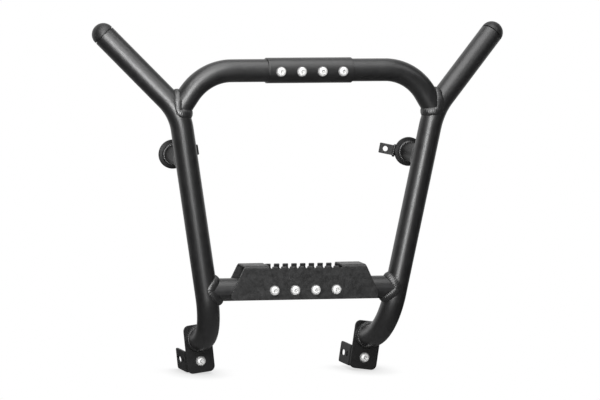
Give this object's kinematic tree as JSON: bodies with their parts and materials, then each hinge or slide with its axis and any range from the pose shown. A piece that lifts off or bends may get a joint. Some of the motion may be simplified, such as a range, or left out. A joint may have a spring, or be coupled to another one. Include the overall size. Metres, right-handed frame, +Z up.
{
  "type": "utv rear bumper",
  "caption": "Rear bumper for a utility vehicle: bent steel tube frame with flared horns, an upper hoop, a bolted step channel, rear standoffs and foot brackets with clevises.",
  "frame": {"origin": "midpoint of the bounding box's footprint, at the height of the lowest point of the foot plates", "axes": "+X to the bumper's right across its width, +Y back toward the vehicle, +Z up; the plane X = 0 is the mirror plane"},
  "size_m": [0.8372, 0.2302, 0.6964],
  "materials": {
    "powder_coat": "black textured powder coat, satin",
    "zinc_plate": "bright zinc plate"
  },
  "bodies": {
    "root": {"left_side_tube": "powder_coat", "right_side_tube": "powder_coat", "left_hoop_tube": "powder_coat", "right_hoop_tube": "powder_coat", "left_cross_tube": "powder_coat", "right_cross_tube": "powder_coat", "hoop_sleeve": "powder_coat", "step_channel": "powder_coat", "left_end_cap": "powder_coat", "right_end_cap": "powder_coat", "left_foot_plate": "powder_coat", "right_foot_plate": "powder_coat", "left_clevis": "powder_coat", "right_clevis": "powder_coat", "left_standoff": "powder_coat", "right_standoff": "powder_coat", "left_standoff_flange": "powder_coat", "right_standoff_flange": "powder_coat", "left_lug": "powder_coat", "right_lug": "powder_coat", "sleeve_1_bolt": "zinc_plate", "sleeve_1_washer": "zinc_plate", "sleeve_1_nut": "zinc_plate", "sleeve_2_bolt": "zinc_plate", "sleeve_2_washer": "zinc_plate", "sleeve_2_nut": "zinc_plate", "sleeve_3_bolt": "zinc_plate", "sleeve_3_washer": "zinc_plate", "sleeve_3_nut": "zinc_plate", "sleeve_4_bolt": "zinc_plate", "sleeve_4_washer": "zinc_plate", "sleeve_4_nut": "zinc_plate", "channel_1_bolt": "zinc_plate", "channel_1_washer": "zinc_plate", "channel_1_nut": "zinc_plate", "channel_2_bolt": "zinc_plate", "channel_2_washer": "zinc_plate", "channel_2_nut": "zinc_plate", "channel_3_bolt": "zinc_plate", "channel_3_washer": "zinc_plate", "channel_3_nut": "zinc_plate", "channel_4_bolt": "zinc_plate", "channel_4_washer": "zinc_plate", "channel_4_nut": "zinc_plate", "left_foot_bolt": "zinc_plate", "left_foot_washer": "zinc_plate", "left_foot_nut": "zinc_plate", "right_foot_bolt": "zinc_plate", "right_foot_washer": "zinc_plate", "right_foot_nut": "zinc_plate"}
  },
  "joints": []
}
